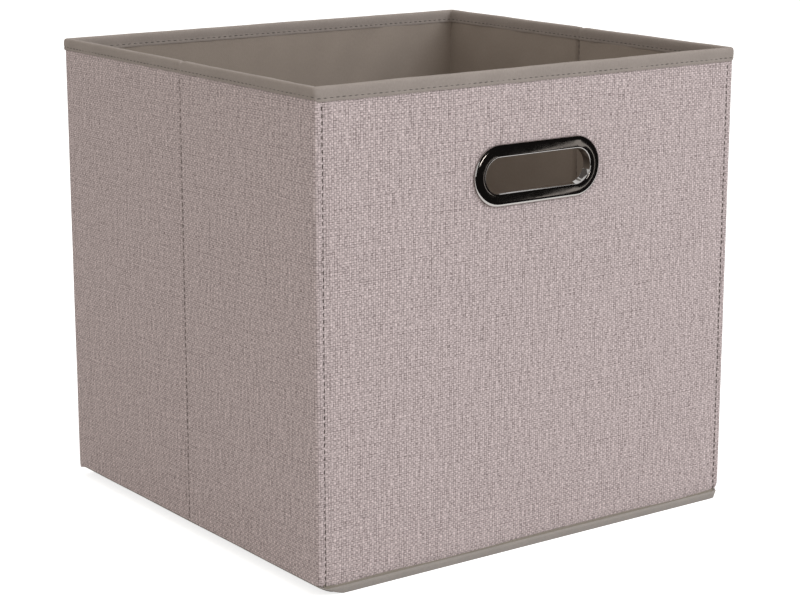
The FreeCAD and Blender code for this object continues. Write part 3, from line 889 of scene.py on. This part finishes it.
# From the rim on the cloth, over the dome, down the barrel and out at its clinched tail
OPENING = RING_RADIUS - 7.7 * MM
BARREL = OPENING + 1.0 * MM
flange = rounded_profile(
    [(RING_RADIUS - 0.6 * MM, FRONT_Y + 0.1 * MM), (RING_RADIUS, FRONT_Y - 0.1 * MM),
     (RING_RADIUS - 0.05 * MM, FRONT_Y - 1.1 * MM), (RING_RADIUS - 1.4 * MM, FRONT_Y - 2.3 * MM),
     (RING_RADIUS - 4.9 * MM, FRONT_Y - 2.55 * MM), (OPENING, FRONT_Y - 2.2 * MM),
     (OPENING, RING_HIGH.y), (BARREL, RING_HIGH.y)],
    [0.15 * MM, 0.5 * MM, 0.9 * MM, 1.4 * MM, 1.1 * MM, 0.3 * MM], 4)
grommet_part("grommet_flange", flange, True, "grommet_face_ring")

back_low, back_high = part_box("grommet_back_ring")
washer_inside = BARREL + 0.05 * MM
washer_outside = (back_high.z - back_low.z) / 2
washer_foot = back_low.y + 0.05 * MM
washer = rounded_profile(
    [(washer_inside, washer_foot), (washer_inside, back_high.y),
     (washer_outside, back_high.y), (washer_outside, washer_foot)],
    [0.35 * MM, 0.5 * MM], 3)
grommet_part("grommet_washer", washer, False, "grommet_back_ring")


# Base cloth and loose bottom

def climb(x, start, power):
    """Height of the base cloth at x, where it climbs from the floor at start to the side hem."""
    return (SIDE_FOOT - 0.6 * MM) * max(0, (abs(x) - start) / (CLOTH_X - start)) ** power


def base_height(x, y):
    """The base cloth climbs to the side walls' hems, close in under the loose bottom. At the
    front edge it climbs slowly on the left, as a soft corner, and all at once on the right."""
    under = climb(x, 140.5 * MM, 1.5)
    front_edge = climb(x, 137 * MM, 1.3) if x < 0 else climb(x, 151 * MM, 1.5)
    share = min(1, max(0, (abs(y) - 137.5 * MM) / (3 * MM)))
    share = share * share * (3 - 2 * share)
    return under + ((front_edge if y < 0 else under) - under) * share


def round_corner(x, y, half_x, half_y, radius):
    """Pulls a plan point in on to the rounded corner of a rectangle."""
    over = Vector((abs(x) - half_x + radius, abs(y) - half_y + radius))
    if min(over) > 0 and over.length > radius:
        over *= radius / over.length
        return math.copysign(half_x - radius + over.x, x), math.copysign(half_y - radius + over.y, y)
    return x, y


def under_cloth():
    """The base cloth: flat in the middle, its edge turned up to the hems of the walls."""
    bm = bmesh.new()
    bmesh.ops.create_grid(bm, x_segments=84, y_segments=76, size=1)
    half_x, half_y = CLOTH_X - 1.4 * MM, (BACK_Y - FRONT_Y) / 2 - 0.6 * MM
    for vert in bm.verts:
        spread = [math.copysign(abs(c) ** 0.6, c) for c in vert.co.xy]
        x, y = round_corner(spread[0] * half_x, spread[1] * half_y, half_x, half_y, 2.4 * MM)
        vert.co = Vector((x, y, base_height(x, y)))
    rim = [e for e in bm.edges if e.is_boundary]
    for out, up in ((0.1, 0.12), (0.2, 0.3), (0.2, 0.6), (0.12, 0.86), (-1.0, 1.0)):
        verts, rim = extruded(bm, rim)
        for vert in verts:
            scale = (half_x + out * MM) / half_x
            x, y = vert.co.x * scale, vert.co.y * (half_y + out * MM) / half_y
            foot = base_height(x / scale, y)
            hem = SIDE_FOOT if abs(y) < half_y - 3 * MM else FRONT_FOOT
            vert.co = Vector((x, y, foot + (max(hem, foot + 0.4 * MM) - foot) * up))
    run, rise = weave_layers(bm)
    for vert in bm.verts:
        vert[run] = vert.co.x
        vert[rise] = vert.co.y + math.copysign(vert.co.z, vert.co.y)
        sag = soft(vert.co.x, vert.co.y, seed=14, waves=18, depth=0.25 * MM)
        vert.co.z = max(0.0, vert.co.z + sag * (1 if vert.co.z > 0.2 * MM else 0))
    face_towards(bm, (0, 0, -1), lambda middle: middle.length)
    lay_weave(bm)
    return bm


piece = new_piece("under_cloth", under_cloth(), base_felt)
thicken(piece, BASE_THICKNESS)
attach(piece, "front_panel")
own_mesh(piece)
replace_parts(piece, "base_cloth")


def bottom_cover():
    """Cover of the loose bottom: its top, and its edge turned down over the board."""
    low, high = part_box("base_board_cover")
    half = Vector(((high.x - low.x) / 2, (high.y - low.y) / 2))
    edge_turn = 0.8
    bm = bmesh.new()
    bmesh.ops.create_grid(bm, x_segments=58, y_segments=56, size=1)
    for vert in bm.verts:
        vert.co = Vector((vert.co.x * (half.x - edge_turn * MM), vert.co.y * (half.y - edge_turn * MM),
                          high.z))
        vert.co.z -= abs(soft(vert.co.x, vert.co.y, seed=20, waves=12, depth=0.25 * MM))
    rim = [e for e in bm.edges if e.is_boundary]
    for out, down in ((0.35, 0.1), (0.68, 0.4), (edge_turn, 0.9), (edge_turn, 2.0), (edge_turn, 3.2)):
        verts, rim = extruded(bm, rim)
        for vert in verts:
            for axis in (0, 1):
                if abs(abs(vert.co[axis]) - half[axis]) < 0.9 * MM:
                    edge = half[axis] - edge_turn * MM + out * MM
                    vert.co[axis] = math.copysign(edge, vert.co[axis])
            vert.co.z = high.z - down * MM
    run, rise = weave_layers(bm)
    for vert in bm.verts:
        vert[run], vert[rise] = vert.co.x, vert.co.y
    face_towards(bm, (0, 0, 1), lambda middle: middle.xy.length)
    lay_weave(bm)
    return bm


piece = new_piece("loose_bottom_cover", bottom_cover(), lining_felt)
thicken(piece, COVER_THICKNESS)
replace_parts(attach(piece, "bottom_board"), "base_board_cover")

for name, node in frame["nodes"].items():
    finish = backing_felt if name == "base_board_backing" else board_finish
    node.data.materials.clear()
    node.data.materials.append(finish)


# Stage and light

def stage_sheet(name, corners, material):
    """A flat four-cornered part of the stage."""
    bm = bmesh.new()
    bm.faces.new([bm.verts.new(corner) for corner in corners])
    mesh = bpy.data.meshes.new(name)
    bm.to_mesh(mesh)
    bm.free()
    made = bpy.data.objects.new(name, mesh)
    bpy.context.collection.objects.link(made)
    mesh.materials.append(material)
    return made


def seen_directly(tree, other_rays, direct):
    """direct for the rays of the camera, of reflections and of transmission, else other_rays."""
    path = add(tree, "LightPath")
    seen = calc(tree, "MAXIMUM", path.outputs["Is Camera Ray"], path.outputs["Is Glossy Ray"])
    seen = calc(tree, "MAXIMUM", seen, path.outputs["Is Transmission Ray"])
    return calc(tree, "MULTIPLY_ADD", seen, direct - other_rays, other_rays)


def studio_floor():
    """Grey for the object's shadow and light, with a glow that makes it white to the camera."""
    material, tree, base = shader("studio_floor", roughness=0.9, specular=0.0)
    base.inputs["Base Color"].default_value = (0.65, 0.65, 0.65, 1)
    glow = add(tree, "Emission", {"Color": (1, 1, 1, 1), "Strength": seen_directly(tree, 0.0, 0.75)})
    both = add(tree, "AddShader", {0: base.outputs[0], 1: glow.outputs[0]})
    tree.links.new(both.outputs[0], tree.nodes["Material Output"].inputs["Surface"])
    return material


REACH = 30
stage_sheet("floor", [(-REACH, -REACH, 0), (REACH, -REACH, 0), (REACH, REACH, 0), (-REACH, REACH, 0)],
            studio_floor())

world = bpy.data.worlds.new("studio")
bpy.context.scene.world = world
world.use_nodes = True
tree = world.node_tree
background = tree.nodes["Background"]
tree.links.new(seen_directly(tree, 0.73, 1.0), background.inputs["Strength"])
tree.links.new(tones(tree, seen_directly(tree, 0.0, 1.0), (1.0, 0.967, 0.92), (1.0, 1.0, 1.0)),
               background.inputs["Color"])


def softbox(name, place, target, size, power, colour=(1, 1, 1)):
    """A lamp as large as a studio softbox, which polished metal doesn't mirror."""
    light = bpy.data.lights.new(name, "AREA")
    light.shape = "RECTANGLE"
    light.size, light.size_y = size
    light.energy = power
    light.color = colour
    lamp = bpy.data.objects.new(name, light)
    bpy.context.collection.objects.link(lamp)
    lamp.location = place
    lamp.rotation_mode = "QUATERNION"
    lamp.rotation_quaternion = (Vector(target) - Vector(place)).to_track_quat("-Z", "Y")
    lamp.visible_glossy = False


softbox("key", (0.9, -1.8, 1.3), (0, 0, 0.14), (1.2, 1.0), 19, (0.93, 1.0, 1.08))
softbox("overhead", (0.1, -0.15, 2.2), (0, 0, 0.2), (1.5, 1.5), 6)


def reflection_card(name, corners, level):
    """A dark or bright card outside the picture, seen only in polished metal."""
    material = bpy.data.materials.new(name)
    material.use_nodes = True
    tree = material.node_tree
    tree.nodes.remove(tree.nodes["Principled BSDF"])
    glow = add(tree, "Emission", {"Color": (1.0, 0.93, 0.87, 1), "Strength": level})
    tree.links.new(glow.outputs[0], tree.nodes["Material Output"].inputs["Surface"])
    card = stage_sheet(name, corners, material)
    card.visible_camera = card.visible_diffuse = card.visible_shadow = False
    card.visible_transmission = card.visible_volume_scatter = False


# The studio's walls and ceiling stand this far from the box
WALL = 4
DARK, GREY, PALE, STAND, WINDOW = 0.012, 0.15, 0.3, 0.5, 5.0
reflection_card("card_on_floor", [(-WALL, -0.32, 0.002), (WALL, -0.32, 0.002), (WALL, -WALL, 0.002),
                                  (-WALL, -WALL, 0.002)], DARK)
reflection_card("card_in_front", [(-WALL, -WALL, 0), (WALL, -WALL, 0), (WALL, -WALL, WALL),
                                  (-WALL, -WALL, WALL)], DARK)
reflection_card("card_overhead", [(-WALL, -WALL, WALL), (WALL, -WALL, WALL), (WALL, 0.3, WALL),
                                  (-WALL, 0.3, WALL)], DARK)
reflection_card("card_on_right", [(WALL, -WALL, 0), (WALL, WALL, 0), (WALL, WALL, WALL),
                                  (WALL, -WALL, WALL)], DARK)
reflection_card("card_behind", [(-WALL, WALL, 1.2), (0.2, WALL, 1.2), (0.2, WALL, 4.5),
                                (-WALL, WALL, 4.5)], GREY)
reflection_card("card_behind_right", [(0.7, WALL, 1.2), (1.6, WALL, 1.2), (1.6, WALL, 4.5),
                                      (0.7, WALL, 4.5)], PALE)
reflection_card("grey_stand", [(0.400, -0.607, 0.003), (0.434, -0.607, 0.003), (0.446, -0.607, 0.25),
                               (0.417, -0.607, 0.25)], STAND)
reflection_card("long_window", [(-0.66, -1.98, 0.87), (-0.48, -1.98, 0.64), (0.15, -1.85, 1.15),
                                (-0.03, -1.85, 1.39)], WINDOW)


# Camera, fitted to the corners and rims of the box in the photograph

AZIMUTH, ELEVATION = math.radians(-36.03), math.radians(13.3)
DISTANCE, SIDE_STEP, RISE = 1.396, 0.0043, -0.034
AIM_HEIGHT = 0.1597
FOCAL_PIXELS, FRAME_PIXELS = 2187.1, 800
SENSOR = 36
back = Vector((math.sin(AZIMUTH) * math.cos(ELEVATION), -math.cos(AZIMUTH) * math.cos(ELEVATION),
               math.sin(ELEVATION)))
right = Vector((math.cos(AZIMUTH), math.sin(AZIMUTH), 0))
up = back.cross(right)
camera_data = bpy.data.cameras.new("camera")
camera_data.sensor_width = SENSOR
camera_data.lens = FOCAL_PIXELS / FRAME_PIXELS * SENSOR
camera_data.clip_start, camera_data.clip_end = 0.05, 100
camera = bpy.data.objects.new("camera", camera_data)
bpy.context.collection.objects.link(camera)
camera.location = back * DISTANCE + right * SIDE_STEP + up * RISE + Vector((0, 0, AIM_HEIGHT))
camera.rotation_mode = "QUATERNION"
camera.rotation_quaternion = Matrix((right, up, back)).transposed().to_quaternion()
bpy.context.scene.camera = camera
bpy.context.scene.view_settings.view_transform = "Standard"
